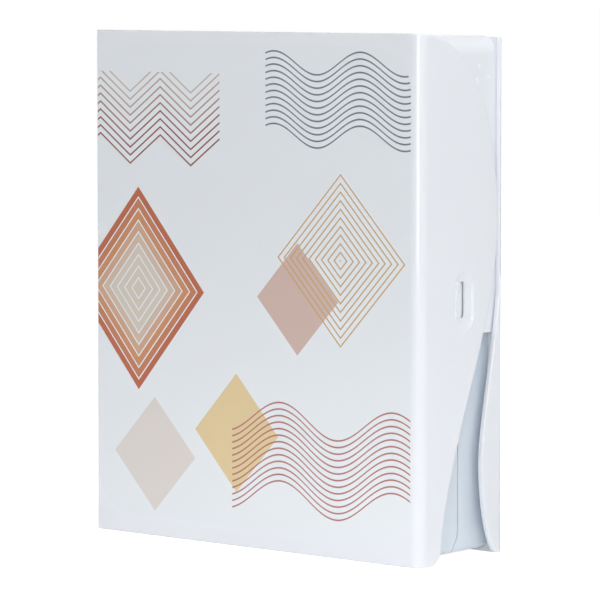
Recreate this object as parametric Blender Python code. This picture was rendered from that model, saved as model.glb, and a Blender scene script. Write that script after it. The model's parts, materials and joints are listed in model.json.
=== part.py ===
"""Weekly pill organiser: a book-like case on a side hinge, with seven lift-out day boxes.

Lengths are in metres. X runs to the right, -Y to the front and +Z up. The case stands closed on its
lower edge, and the origin is in the middle of its underside.
"""
import math

import bmesh
import bpy
from mathutils import Vector

# Case as a whole
CASE_WIDTH = 0.154
CASE_HEIGHT = 0.190
CASE_DEPTH = 0.050
MESH_GAP = 0.0003
OVERRUN = 0.002
MERGE_DISTANCE = 0.000003

# Front cover: a printed panel that turns the corner into a curved flap
FRONT_WALL = 0.0016
FRONT_CORNER_RADIUS = 0.0043
COVER_EDGE_ROUND = 0.0005
FRONT_FLAP_shares = (
    ((0.04, 0.998), (0.62, 0.997), (0.942, 0.837), (0.946, 0.638)),
    ((0.946, 0.638), (0.946, 0.516), (0.676, 0.374), (0.56, 0.295)),
    ((0.56, 0.295), (0.436, 0.2105), (0.278, 0.105), (0.252, 0.0263)),
    ((0.252, 0.0263), (0.246, 0.0116), (0.204, 0.0), (0.15, 0.0)),
)

# Rear cover: a panel with a rim, a lower flap, and a wall that runs over the top and down the side
REAR_WALL = 0.0020
REAR_FLAP_WALL = 0.0016
REAR_CORNER_RADIUS = 0.0025
REAR_TOP_DROP = 0.0018
REAR_FLAP_shares = (
    ((1.0, 0.0), (0.96, 0.0), (0.93, 0.002), (0.90, 0.006)),
    ((0.90, 0.006), (0.82, 0.03), (0.74, 0.095), (0.74, 0.179)),
    ((0.74, 0.179), (0.74, 0.263), (0.968, 0.442), (0.968, 0.568)),
)
RIM_DEPTH_share = 0.968
HOOD_WALL = 0.0015
HOOD_INSET = 0.0024
HOOD_TOP_INSET = 0.0013
HOOD_CORNER_RADIUS = 0.0066
HOOD_FRONT_DEPTH = 0.0170
HOOD_LOW_HEIGHT = 0.0810
HOOD_FOOT_RADIUS = 0.0030

# Thumb recess and slot in the flap, and the release tab behind them
RECESS_DEPTH_PLACE = 0.0260
RECESS_HEIGHT_PLACE = 0.0934
RECESS_WIDTH = 0.0118
RECESS_LENGTH = 0.0214
RECESS_SINK = 0.0010
RECESS_SLOPE = 0.0045
RECESS_FLOOR_share = 0.95
SLOT_RISE = 0.0008
SLOT_HEIGHT_PLACE = RECESS_HEIGHT_PLACE + SLOT_RISE
SLOT_WIDTH = 0.0032
SLOT_LENGTH = 0.0132
RIB_WIDTH = 0.0018
RIB_RISE = 0.0006
TAB_WIDTH = 0.0084
TAB_LENGTH = 0.0240
TAB_CLEARANCE = 0.0004
TAB_CORNER_RADIUS = 0.0014
TAB_NUB_WIDTH = 0.0024
TAB_NUB_LENGTH = 0.0124
TAB_TRAVEL = 0.0012
TAB_BACK_CLEARANCE = 0.0004

# Trays: a deep one in the front cover and a shallow one in the rear cover
TRAY_WALL = 0.0014
TRAY_FLOOR = 0.0012
TRAY_LOW_INSET = 0.0017
TRAY_LOW_RADIUS = 0.0020
TRAY_CORNER_CLEARANCE = 0.0006
SEAM_DEPTH_PLACE = 0.0298
SEAM_GAP = 0.0006
SEAM_TOE_HEIGHT = 0.0075
SEAM_TOE_REACH = 0.0042
PEG_RADIUS = 0.0016
PEG_CLEARANCE = 0.0003
PEG_EDGE_DISTANCE = 0.0095
PEG_ROWS = 3

# Hinge along the left side
HINGE_INSET = 0.0030
KNUCKLE_RADIUS = 0.0022
KNUCKLE_COUNT = 5
KNUCKLE_GAP = 0.0004
KNUCKLE_CLEARANCE = 0.0004
KNUCKLE_WEB_LENGTH = 0.0040
KNUCKLE_WEB_REACH = 0.0003
HINGE_END_MARGIN = 0.0100
PIN_RADIUS = 0.0010
PIN_CLEARANCE = 0.00025
PIN_END_RECESS = 0.0010

# Card for the medicine schedule, under clips in the front tray
CARD_THICKNESS = 0.0006
CARD_MARGIN = 0.0040
CARD_CORNER_RADIUS = 0.0030
CLIP_LENGTH = 0.0120
CLIP_REACH = 0.0060
CLIP_THICKNESS = 0.0010
CLIP_COUNT = 3

# Day boxes
DAY_COUNT = 7
DOSE_COUNT = 4
DAY_END_CLEARANCE = 0.0010
DAY_GAP = 0.0005
DAY_TOP_SPACE = 0.0045
DAY_LOW_SPACE = 0.0045
DAY_WALL = 0.0011
DAY_PARTITION = 0.0016
DAY_FLOOR = 0.0011
DAY_RIM_SINK = 0.0012
DAY_FOOT_RADIUS = 0.0035
SCOOP_RADIUS = 0.0045
DIVIDER_RISE = 0.0014
DIVIDER_CREST = 0.0006
DIVIDER_BASE = 0.0026

# Lids of the day boxes
LID_THICKNESS = 0.0012
LID_HINGE_DROP = 0.0012
LID_BARREL_RADIUS = 0.0009
LID_SIDE_CLEARANCE = 0.0003
LID_SPLIT = 0.0005
LID_LOW_CLEARANCE = 0.0003
LID_CORNER_RADIUS = 0.0020
LID_SHOULDER = 0.0016
LID_NUB_RADIUS = 0.0004
LID_NUB_LENGTH = 0.0005
EAR_RADIUS = 0.00115
EAR_HOLE_RADIUS = 0.00065
EAR_LEDGE = 0.0004
THUMB_WIDTH = 0.0110
THUMB_RISE = 0.0010
THUMB_THICKNESS = 0.0012

# Facets
CURVE_STEPS = 9
CORNER_STEPS = 5
ROUND_SIDES = 12
SMALL_SIDES = 8

# Places worked out from the sizes above
FRONT_Y = -CASE_DEPTH / 2
REAR_Y = CASE_DEPTH / 2
LEFT_X = -CASE_WIDTH / 2
RIGHT_X = CASE_WIDTH / 2
SEAM_Y = FRONT_Y + SEAM_DEPTH_PLACE
HINGE_X = LEFT_X + HINGE_INSET
TRAY_LEFT_X = HINGE_X + HINGE_INSET + MESH_GAP
TRAY_RIGHT_X = RIGHT_X - HOOD_INSET - HOOD_WALL - TAB_TRAVEL - TAB_BACK_CLEARANCE
TRAY_LOW_Z = TRAY_LOW_INSET
TRAY_TOP_Z = CASE_HEIGHT - HOOD_TOP_INSET - HOOD_WALL - MESH_GAP
TRAY_TOP_RADIUS = HOOD_CORNER_RADIUS - HOOD_WALL - TRAY_CORNER_CLEARANCE
FRONT_TRAY_Y = FRONT_Y + FRONT_WALL + MESH_GAP
REAR_TRAY_Y = REAR_Y - REAR_WALL - MESH_GAP
DAY_LEFT_X = TRAY_LEFT_X + TRAY_WALL + DAY_END_CLEARANCE
DAY_RIGHT_X = TRAY_RIGHT_X - TRAY_WALL - DAY_END_CLEARANCE
DAY_BACK_Y = REAR_TRAY_Y - TRAY_FLOOR - MESH_GAP
DAY_RIM_Y = SEAM_Y + SEAM_GAP / 2 + DAY_RIM_SINK
DAY_LOW_Z = TRAY_LOW_Z + TRAY_WALL + DAY_LOW_SPACE
DAY_PITCH = (TRAY_TOP_Z - TRAY_WALL - DAY_TOP_SPACE - DAY_LOW_Z) / DAY_COUNT
DAY_HEIGHT = DAY_PITCH - DAY_GAP
DOSE_PITCH = (DAY_RIGHT_X - DAY_LEFT_X - DAY_PARTITION) / DOSE_COUNT
LID_BACK_Y = DAY_RIM_Y - MESH_GAP
LID_FRONT_Y = LID_BACK_Y - LID_THICKNESS
LID_AXIS_Y = LID_FRONT_Y + LID_BARREL_RADIUS

DAY_NAMES = ("monday", "tuesday", "wednesday", "thursday", "friday", "saturday", "sunday")
DOSE_NAMES = ("morning", "noon", "evening", "night")


def clear_scene():
    for item in list(bpy.data.objects):
        bpy.data.objects.remove(item, do_unlink=True)


def make_material(name, color, roughness, metallic=0.0, alpha=1.0):
    material = bpy.data.materials.new(name)
    material.use_nodes = True
    shader = material.node_tree.nodes["Principled BSDF"]
    shader.inputs["Base Color"].default_value = (*color, 1.0)
    shader.inputs["Roughness"].default_value = roughness
    shader.inputs["Metallic"].default_value = metallic
    shader.inputs["Alpha"].default_value = alpha
    return material


def add_object(name, mesh, material=None, parent=None):
    item = bpy.data.objects.new(name, mesh)
    bpy.context.scene.collection.objects.link(item)
    if material:
        mesh.materials.clear()
        mesh.materials.append(material)
    item.parent = parent
    return item


def add_pivot(name, place, parent=None):
    """An empty at a joint: its place is given in world coordinates."""
    pivot = bpy.data.objects.new(name, None)
    bpy.context.scene.collection.objects.link(pivot)
    offset = Vector(place)
    if parent:
        offset = offset - Vector(parent["world_place"])
        pivot.parent = parent
    pivot.location = offset
    pivot["world_place"] = tuple(place)
    return pivot


def hang(name, mesh, material, pivot):
    """Put a mesh made in world coordinates on a pivot, with its origin at the pivot."""
    shift = -Vector(pivot["world_place"])
    for vertex in mesh.vertices:
        vertex.co += shift
    return add_object(name, mesh, material, pivot)


def mesh_from(bm, name="shape"):
    bmesh.ops.recalc_face_normals(bm, faces=bm.faces)
    mesh = bpy.data.meshes.new(name)
    bm.to_mesh(mesh)
    bm.free()
    return mesh


def place_point(axis, along, first, second):
    """A point whose outline coordinates lie across an axis: (y, z) for X, (x, z) for Y, (x, y) for Z."""
    if axis == "X":
        return (along, first, second)
    if axis == "Y":
        return (first, along, second)
    return (first, second, along)


def prism(outline, axis, low, high):
    """A closed outline carried along an axis."""
    bm = bmesh.new()
    ends = []
    for along in (low, high):
        ends.append([bm.verts.new(place_point(axis, along, *point)) for point in outline])
    count = len(outline)
    bm.faces.new(ends[0])
    bm.faces.new(list(reversed(ends[1])))
    for index in range(count):
        after = (index + 1) % count
        bm.faces.new((ends[0][after], ends[0][index], ends[1][index], ends[1][after]))
    return mesh_from(bm)


def block(low, high):
    outline = ((low[0], low[1]), (high[0], low[1]), (high[0], high[1]), (low[0], high[1]))
    return prism(outline, "Z", low[2], high[2])


def circle(centre, radius, sides, turn_share=0.5):
    """Points of a round outline, with a flat at its foot by default."""
    step = 2 * math.pi / sides
    points = []
    for index in range(sides):
        angle = step * (index + turn_share)
        points.append((centre[0] + radius * math.cos(angle), centre[1] + radius * math.sin(angle)))
    return points


def arc(centre, radius, start, end, steps):
    points = []
    for index in range(steps + 1):
        angle = start + (end - start) * index / steps
        points.append((centre[0] + radius * math.cos(angle), centre[1] + radius * math.sin(angle)))
    return points


def rounded_rectangle(low, high, low_radius, top_radius, steps=CORNER_STEPS):
    quarter = math.pi / 2
    corners = (
        ((high[0] - top_radius, high[1] - top_radius), top_radius, 0),
        ((low[0] + top_radius, high[1] - top_radius), top_radius, 1),
        ((low[0] + low_radius, low[1] + low_radius), low_radius, 2),
        ((high[0] - low_radius, low[1] + low_radius), low_radius, 3),
    )
    points = []
    for centre, radius, turn in corners:
        points.extend(arc(centre, radius, quarter * turn, quarter * (turn + 1), steps))
    return points


def bezier(control, steps=CURVE_STEPS):
    """Points of a cubic curve, without its first one."""
    points = []
    for index in range(1, steps + 1):
        t = index / steps
        weights = ((1 - t) ** 3, 3 * (1 - t) ** 2 * t, 3 * (1 - t) * t ** 2, t ** 3)
        first = sum(w * p[0] for w, p in zip(weights, control))
        second = sum(w * p[1] for w, p in zip(weights, control))
        points.append((first, second))
    return points


def combine(base, tool, operation):
    """Boolean of two meshes with Blender's exact solver; the tool is used up."""
    first = add_object("boolean_base", base)
    second = add_object("boolean_tool", tool)
    modifier = first.modifiers.new("boolean", "BOOLEAN")
    modifier.operation = operation
    modifier.object = second
    graph = bpy.context.evaluated_depsgraph_get()
    result = bpy.data.meshes.new_from_object(first.evaluated_get(graph))
    bpy.data.objects.remove(first, do_unlink=True)
    bpy.data.objects.remove(second, do_unlink=True)
    bpy.data.meshes.remove(base)
    bpy.data.meshes.remove(tool)
    return result


def join(base, *tools):
    for tool in tools:
        base = combine(base, tool, "UNION")
    return base


def cut(base, *tools):
    for tool in tools:
        base = combine(base, tool, "DIFFERENCE")
    return base


def tidy(mesh):
    """Merge the coplanar faces that booleans leave, and shade the round stretches smooth."""
    bm = bmesh.new()
    bm.from_mesh(mesh)
    flat_angle = math.radians(0.2)
    bmesh.ops.remove_doubles(bm, verts=bm.verts, dist=MERGE_DISTANCE)
    bmesh.ops.dissolve_limit(bm, angle_limit=flat_angle, verts=bm.verts, edges=bm.edges)
    bm.to_mesh(mesh)
    bm.free()
    mesh.shade_smooth()
    mesh.set_sharp_from_angle(angle=math.radians(35))
    return mesh


def length_to_corner(radius):
    return CASE_WIDTH - radius


def depth_to_length(depth, radius):
    """Length along a cover's outer face, from its left edge, at a depth behind that cover's face."""
    straight = length_to_corner(radius)
    if depth < radius:
        return straight + radius * math.acos(1 - depth / radius)
    return straight + radius * math.pi / 2 + depth - radius


def wrap(length, inward, radius, facing):
    """Place on a folded cover at a length from its left edge; facing is -1 for the front, 1 for the rear."""
    straight = length_to_corner(radius)
    quarter = radius * math.pi / 2
    face_y = facing * CASE_DEPTH / 2
    if length <= straight:
        return LEFT_X + length, face_y - facing * inward
    if length <= straight + quarter:
        angle = (length - straight) / radius
        centre_x = RIGHT_X - radius
        centre_y = face_y - facing * radius
        reach = radius - inward
        return centre_x + reach * math.sin(angle), centre_y + facing * reach * math.cos(angle)
    depth = radius + length - straight - quarter
    return RIGHT_X - inward, face_y - facing * depth


def folded_sheet(outline, wall, radius, facing):
    """A flat outline of lengths and heights, folded round the case's corner, with a rounded outer edge."""
    bm = bmesh.new()
    bm.faces.new([bm.verts.new((length, 0, height)) for length, height in outline])
    straight = length_to_corner(radius)
    quarter = radius * math.pi / 2
    for index in range(CORNER_STEPS + 1):
        fold = straight + quarter * index / CORNER_STEPS
        geometry = bm.verts[:] + bm.edges[:] + bm.faces[:]
        bmesh.ops.bisect_plane(bm, geom=geometry, plane_co=(fold, 0, 0), plane_no=(1, 0, 0))
    inner = {}
    outer_faces = list(bm.faces)
    rim = [edge for edge in bm.edges if edge.is_boundary]
    for vertex in list(bm.verts):
        x, y = wrap(vertex.co.x, wall, radius, facing)
        inner[vertex] = bm.verts.new((x, y, vertex.co.z))
    for vertex in inner:
        vertex.co.x, vertex.co.y = wrap(vertex.co.x, 0, radius, facing)
    for face in outer_faces:
        bm.faces.new([inner[vertex] for vertex in reversed(face.verts)])
    for edge in rim:
        first, second = edge.verts
        bm.faces.new((first, second, inner[second], inner[first]))
    bmesh.ops.recalc_face_normals(bm, faces=bm.faces)
    bmesh.ops.bevel(bm, geom=rim, offset=COVER_EDGE_ROUND, segments=2, profile=0.5, affect="EDGES")
    return mesh_from(bm)


def depth_and_height(shares):
    return [(share[0] * CASE_DEPTH, share[1] * CASE_HEIGHT) for share in shares]


def front_outline():
    """The printed panel and the flap, laid flat: lengths from the left edge, and heights."""
    points = [(0, 0), (0, CASE_HEIGHT), (length_to_corner(FRONT_CORNER_RADIUS), CASE_HEIGHT)]
    start = depth_and_height(FRONT_FLAP_shares[0])[0]
    edge = [start]
    for shares in FRONT_FLAP_shares:
        edge.extend(bezier(depth_and_height(shares)))
    points.extend((depth_to_length(depth, FRONT_CORNER_RADIUS), height) for depth, height in edge)
    return points


def rear_outline():
    """The rear panel, its rim and its lower flap, laid flat."""
    top = CASE_HEIGHT - REAR_TOP_DROP
    points = [(0, top), (0, 0), (length_to_corner(REAR_CORNER_RADIUS), 0)]
    for shares in REAR_FLAP_shares:
        for depth, height in bezier(depth_and_height(shares)):
            points.append((depth_to_length(CASE_DEPTH - depth, REAR_CORNER_RADIUS), height))
    rim_depth = CASE_DEPTH * (1 - RIM_DEPTH_share)
    points.append((depth_to_length(rim_depth, REAR_CORNER_RADIUS), top))
    return points


def obround(centre, width, length):
    """An upright slot outline in (y, z)."""
    radius = width / 2
    high = (centre[0], centre[1] + length / 2 - radius)
    low = (centre[0], centre[1] - length / 2 + radius)
    points = arc(high, radius, 0, math.pi, 2 * CORNER_STEPS)
    points.extend(arc(low, radius, math.pi, 2 * math.pi, 2 * CORNER_STEPS))
    return points


def recess_cutter(centre):
    """A thumb recess whose two round ends slope down to a flat floor."""
    bm = bmesh.new()
    outer = obround(centre, RECESS_WIDTH, RECESS_LENGTH)
    floor_half = RECESS_LENGTH / 2 - RECESS_SLOPE
    inner = []
    for y, z in outer:
        rise = max(-floor_half, min(floor_half, z - centre[1]))
        inner.append((centre[0] + (y - centre[0]) * RECESS_FLOOR_share, centre[1] + rise))
    floor_x = RIGHT_X - RECESS_SINK
    rings = []
    for x, points in ((floor_x, inner), (RIGHT_X, outer), (RIGHT_X + OVERRUN, outer)):
        rings.append([bm.verts.new((x, *point)) for point in points])
    bm.faces.new(rings[0])
    bm.faces.new(list(reversed(rings[-1])))
    count = len(outer)
    for lower, upper in zip(rings, rings[1:]):
        for index in range(count):
            after = (index + 1) % count
            bm.faces.new((lower[after], lower[index], upper[index], upper[after]))
    return mesh_from(bm)


def peg_places():
    """Where the covers' moulded pegs hold the trays, in (x, z)."""
    width = TRAY_RIGHT_X - TRAY_LEFT_X
    height = TRAY_TOP_Z - TRAY_LOW_Z
    places = []
    for side in (TRAY_LEFT_X + PEG_EDGE_DISTANCE, TRAY_LEFT_X + width - PEG_EDGE_DISTANCE):
        for row in range(PEG_ROWS):
            spacing = (height - 2 * PEG_EDGE_DISTANCE) / (PEG_ROWS - 1)
            places.append((side, TRAY_LOW_Z + PEG_EDGE_DISTANCE + spacing * row))
    return places


def pegs(face_y, inward):
    """Pegs that stand on a cover's inner face and fill the holes of its tray's floor."""
    tip = face_y + inward * (MESH_GAP + TRAY_FLOOR)
    root = face_y - inward * FRONT_WALL / 2
    low, high = min(tip, root), max(tip, root)
    return [prism(circle(place, PEG_RADIUS, ROUND_SIDES), "Y", low, high) for place in peg_places()]


def make_front_cover():
    cover = folded_sheet(front_outline(), FRONT_WALL, FRONT_CORNER_RADIUS, -1)
    cover = join(cover, *pegs(FRONT_Y + FRONT_WALL, 1))
    centre = (FRONT_Y + RECESS_DEPTH_PLACE, RECESS_HEIGHT_PLACE)
    slot_outline = obround((centre[0], SLOT_HEIGHT_PLACE), SLOT_WIDTH, SLOT_LENGTH)
    slot = prism(slot_outline, "X", RIGHT_X - FRONT_WALL - OVERRUN, RIGHT_X + OVERRUN)
    cover = cut(cover, recess_cutter(centre), slot)
    rib_y = centre[0] - SLOT_WIDTH / 2 - RIB_WIDTH
    floor_x = RIGHT_X - RECESS_SINK
    rib_root = (FRONT_WALL - RECESS_SINK) / 2
    rib_low = (floor_x - rib_root, rib_y, SLOT_HEIGHT_PLACE - SLOT_LENGTH / 2)
    rib_high = (floor_x + RIB_RISE, rib_y + RIB_WIDTH, SLOT_HEIGHT_PLACE + SLOT_LENGTH / 2)
    return tidy(join(cover, block(rib_low, rib_high)))


def hood_outline():
    """The rear wall's line in (x, z): over the top, round the corner and down the side to its foot."""
    top = CASE_HEIGHT - HOOD_TOP_INSET
    side = RIGHT_X - HOOD_INSET
    centre = (side - HOOD_CORNER_RADIUS, top - HOOD_CORNER_RADIUS)
    steps = CORNER_STEPS + 1
    points = [(TRAY_LEFT_X, top)]
    points.extend(arc(centre, HOOD_CORNER_RADIUS, math.pi / 2, 0, steps))
    points.append((side, HOOD_LOW_HEIGHT))
    points.append((side - HOOD_WALL, HOOD_LOW_HEIGHT))
    points.extend(arc(centre, HOOD_CORNER_RADIUS - HOOD_WALL, 0, math.pi / 2, steps))
    points.append((TRAY_LEFT_X, top - HOOD_WALL))
    return points


def hood_end_cutter():
    """Rounds the foot of the hood's side wall where it ends above the open gap."""
    front = FRONT_Y + HOOD_FRONT_DEPTH
    foot = HOOD_LOW_HEIGHT
    centre = (front + HOOD_FOOT_RADIUS, foot + HOOD_FOOT_RADIUS)
    points = arc(centre, HOOD_FOOT_RADIUS, math.pi, 1.5 * math.pi, CORNER_STEPS)
    points.append((front + HOOD_FOOT_RADIUS, foot - OVERRUN))
    points.append((front - OVERRUN, foot - OVERRUN))
    points.append((front - OVERRUN, foot + HOOD_FOOT_RADIUS))
    side = RIGHT_X - HOOD_INSET
    return prism(points, "X", side - HOOD_WALL - MESH_GAP, side + MESH_GAP)


def tab_window():
    """The opening in the hood that the release tab fills, with room for its travel."""
    centre_y = FRONT_Y + RECESS_DEPTH_PLACE
    half_width = TAB_WIDTH / 2 + TAB_CLEARANCE
    half_length = TAB_LENGTH / 2 + TAB_CLEARANCE
    side = RIGHT_X - HOOD_INSET
    low = (side - HOOD_WALL - OVERRUN / 2, centre_y - half_width, RECESS_HEIGHT_PLACE - half_length)
    high = (side + OVERRUN / 2, centre_y + half_width, RECESS_HEIGHT_PLACE + half_length)
    return block(low, high)


def make_rear_cover():
    cover = folded_sheet(rear_outline(), REAR_FLAP_WALL, REAR_CORNER_RADIUS, 1)
    inner_face = REAR_Y - REAR_WALL
    backing_low = (LEFT_X + REAR_WALL, inner_face, REAR_WALL)
    backing_right = RIGHT_X - HOOD_INSET - HOOD_WALL / 2
    backing_high = (backing_right, REAR_Y - REAR_FLAP_WALL / 2, CASE_HEIGHT - REAR_TOP_DROP - REAR_WALL)
    backing = block(backing_low, backing_high)
    hood = prism(hood_outline(), "Y", FRONT_Y + HOOD_FRONT_DEPTH, REAR_Y - REAR_FLAP_WALL / 2)
    hood = cut(hood, hood_end_cutter(), tab_window())
    return tidy(join(cover, backing, hood, *pegs(inner_face, -1)))


def make_release_tab():
    centre_y = FRONT_Y + RECESS_DEPTH_PLACE
    side = RIGHT_X - HOOD_INSET
    low = (centre_y - TAB_WIDTH / 2, RECESS_HEIGHT_PLACE - TAB_LENGTH / 2)
    high = (centre_y + TAB_WIDTH / 2, RECESS_HEIGHT_PLACE + TAB_LENGTH / 2)
    plate_outline = rounded_rectangle(low, high, TAB_CORNER_RADIUS, TAB_CORNER_RADIUS)
    plate = prism(plate_outline, "X", side - HOOD_WALL, side)
    nub_top = RIGHT_X - FRONT_WALL - MESH_GAP
    nub = prism(
        obround((centre_y, SLOT_HEIGHT_PLACE), TAB_NUB_WIDTH, TAB_NUB_LENGTH),
        "X",
        side - HOOD_WALL / 2,
        nub_top,
    )
    return tidy(join(plate, nub))


def seam_line(offset):
    """The parting line in (y, z), from above the case to below it, with its toe at the foot."""
    y = SEAM_Y + offset
    toe = SEAM_TOE_REACH
    start = (y, TRAY_LOW_Z + SEAM_TOE_HEIGHT)
    end = (y - toe, TRAY_LOW_Z - OVERRUN)
    control = (start, (y, TRAY_LOW_Z + SEAM_TOE_HEIGHT / 2), (y - toe, TRAY_LOW_Z + SEAM_TOE_HEIGHT / 3), end)
    return [(y, CASE_HEIGHT + OVERRUN), start, *bezier(control, CORNER_STEPS)]


def tray_shell(floor_y, seam_y, inward):
    """An open tray: rounded walls from its floor to past the seam."""
    low = (TRAY_LEFT_X, TRAY_LOW_Z)
    high = (TRAY_RIGHT_X, TRAY_TOP_Z)
    inner_low = (low[0] + TRAY_WALL, low[1] + TRAY_WALL)
    inner_high = (high[0] - TRAY_WALL, high[1] - TRAY_WALL)
    outline = rounded_rectangle(low, high, TRAY_LOW_RADIUS, TRAY_TOP_RADIUS)
    radii = (TRAY_LOW_RADIUS - TRAY_WALL, TRAY_TOP_RADIUS - TRAY_WALL)
    pocket_outline = rounded_rectangle(inner_low, inner_high, *radii)
    rim_y = seam_y + inward * (SEAM_TOE_REACH + OVERRUN)
    base_y = floor_y + inward * TRAY_FLOOR
    shell = prism(outline, "Y", min(floor_y, rim_y), max(floor_y, rim_y))
    mouth_y = rim_y + inward * OVERRUN
    pocket = prism(pocket_outline, "Y", min(base_y, mouth_y), max(base_y, mouth_y))
    holes = []
    for place in peg_places():
        hole = circle(place, PEG_RADIUS + PEG_CLEARANCE, ROUND_SIDES)
        holes.append(prism(hole, "Y", min(floor_y, base_y) - OVERRUN / 2, max(floor_y, base_y) + OVERRUN / 2))
    return cut(shell, *holes, pocket)


def seam_cutter(offset, inward):
    """Everything past the parting line, seen from a tray's floor."""
    line = seam_line(offset)
    far_y = SEAM_Y + inward * CASE_DEPTH
    points = [*line, (far_y, line[-1][1]), (far_y, line[0][1])]
    return prism(points, "X", LEFT_X - OVERRUN, RIGHT_X + OVERRUN)


def knuckle_spans():
    """Heights of the hinge's knuckles, in turn for the rear tray and the front tray."""
    low = TRAY_LOW_Z + HINGE_END_MARGIN
    high = TRAY_TOP_Z - HINGE_END_MARGIN
    pitch = (high - low + KNUCKLE_GAP) / KNUCKLE_COUNT
    return [(low + pitch * index, low + pitch * (index + 1) - KNUCKLE_GAP) for index in range(KNUCKLE_COUNT)]


def add_knuckles(tray, first, inward):
    """Cut the wall clear of the hinge, then add this tray's own knuckles with their webs and bore."""
    axis = (HINGE_X, SEAM_Y)
    clear = KNUCKLE_RADIUS + KNUCKLE_CLEARANCE
    spans = knuckle_spans()
    channel = prism(circle(axis, clear, ROUND_SIDES), "Z", spans[0][0] - KNUCKLE_GAP, spans[-1][1] + KNUCKLE_GAP)
    tray = cut(tray, channel)
    web_y = SEAM_Y - inward * KNUCKLE_WEB_LENGTH
    for low, high in spans[first::2]:
        web_low = (HINGE_X - KNUCKLE_WEB_REACH, min(SEAM_Y, web_y), low)
        web_high = (TRAY_LEFT_X + TRAY_WALL / 2, max(SEAM_Y, web_y), high)
        barrel = prism(circle(axis, KNUCKLE_RADIUS, ROUND_SIDES), "Z", low, high)
        tray = join(tray, barrel, block(web_low, web_high))
    bore = circle(axis, PIN_RADIUS + PIN_CLEARANCE, ROUND_SIDES)
    return cut(tray, prism(bore, "Z", spans[0][0] - OVERRUN, spans[-1][1] + OVERRUN))


def card_clips():
    """Bridges from the front tray's side walls that hold the card down."""
    height = TRAY_TOP_Z - TRAY_LOW_Z
    y = FRONT_TRAY_Y + TRAY_FLOOR + 2 * MESH_GAP + CARD_THICKNESS
    clips = []
    for index in range(CLIP_COUNT):
        z = TRAY_LOW_Z + height * (index + 1) / (CLIP_COUNT + 1) - CLIP_LENGTH / 2
        left = TRAY_LEFT_X + TRAY_WALL
        right = TRAY_RIGHT_X - TRAY_WALL
        for near, far in ((left - TRAY_WALL / 2, left + CLIP_REACH), (right - CLIP_REACH, right + TRAY_WALL / 2)):
            clips.append(block((near, y, z), (far, y + CLIP_THICKNESS, z + CLIP_LENGTH)))
    return clips


def make_front_tray():
    tray = tray_shell(FRONT_TRAY_Y, SEAM_Y, 1)
    tray = cut(tray, seam_cutter(-SEAM_GAP / 2, 1))
    tray = add_knuckles(tray, 1, 1)
    return tidy(join(tray, *card_clips()))


def dividers():
    """Low ribs on the rear tray's floor that keep the day boxes in their places."""
    floor_y = REAR_TRAY_Y - TRAY_FLOOR
    left = TRAY_LEFT_X + TRAY_WALL / 2
    right = TRAY_RIGHT_X - TRAY_WALL / 2
    ribs = []
    for index in range(DAY_COUNT + 1):
        z = DAY_LOW_Z + DAY_PITCH * index - DAY_GAP / 2
        points = (
            (floor_y + TRAY_FLOOR / 2, z - DIVIDER_BASE / 2),
            (floor_y, z - DIVIDER_BASE / 2),
            (floor_y - DIVIDER_RISE, z - DIVIDER_CREST / 2),
            (floor_y - DIVIDER_RISE, z + DIVIDER_CREST / 2),
            (floor_y, z + DIVIDER_BASE / 2),
            (floor_y + TRAY_FLOOR / 2, z + DIVIDER_BASE / 2),
        )
        ribs.append(prism(points, "X", left, right))
    return ribs


def make_rear_tray():
    tray = tray_shell(REAR_TRAY_Y, SEAM_Y, -1)
    tray = cut(tray, seam_cutter(SEAM_GAP / 2, -1))
    tray = add_knuckles(tray, 0, -1)
    return tidy(join(tray, *dividers()))


def make_hinge_pin():
    spans = knuckle_spans()
    outline = circle((HINGE_X, SEAM_Y), PIN_RADIUS, ROUND_SIDES)
    return tidy(prism(outline, "Z", spans[0][0] + PIN_END_RECESS, spans[-1][1] - PIN_END_RECESS))


def make_card():
    low = (TRAY_LEFT_X + TRAY_WALL + MESH_GAP, TRAY_LOW_Z + TRAY_WALL + CARD_MARGIN)
    high = (TRAY_RIGHT_X - TRAY_WALL - MESH_GAP, TRAY_TOP_Z - TRAY_WALL - CARD_MARGIN)
    y = FRONT_TRAY_Y + TRAY_FLOOR + MESH_GAP
    return tidy(prism(rounded_rectangle(low, high, CARD_CORNER_RADIUS, CARD_CORNER_RADIUS), "Y", y, y + CARD_THICKNESS))


def day_section(low_z):
    """A day box's end outline in (y, z): a square mouth and two rounded edges at the back."""
    high_z = low_z + DAY_HEIGHT
    radius = DAY_FOOT_RADIUS
    points = [(DAY_RIM_Y, low_z)]
    points.extend(arc((DAY_BACK_Y - radius, low_z + radius), radius, -math.pi / 2, 0, CORNER_STEPS - 1))
    points.extend(arc((DAY_BACK_Y - radius, high_z - radius), radius, 0, math.pi / 2, CORNER_STEPS - 1))
    points.append((DAY_RIM_Y, high_z))
    return points


def dose_pocket(low_z, left, right):
    """One compartment, with a scooped back so that pills slide out."""
    low = low_z + DAY_WALL
    high = low_z + DAY_HEIGHT - DAY_WALL
    back = DAY_BACK_Y - DAY_FLOOR
    mouth = DAY_RIM_Y - OVERRUN
    points = [(mouth, low)]
    points.extend(arc((back - SCOOP_RADIUS, low + SCOOP_RADIUS), SCOOP_RADIUS, -math.pi / 2, 0, CORNER_STEPS - 1))
    points.extend(arc((back - SCOOP_RADIUS, high - SCOOP_RADIUS), SCOOP_RADIUS, 0, math.pi / 2, CORNER_STEPS - 1))
    points.append((mouth, high))
    return prism(points, "X", left, right)


def hinge_height(low_z):
    return low_z + DAY_HEIGHT - LID_HINGE_DROP


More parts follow.
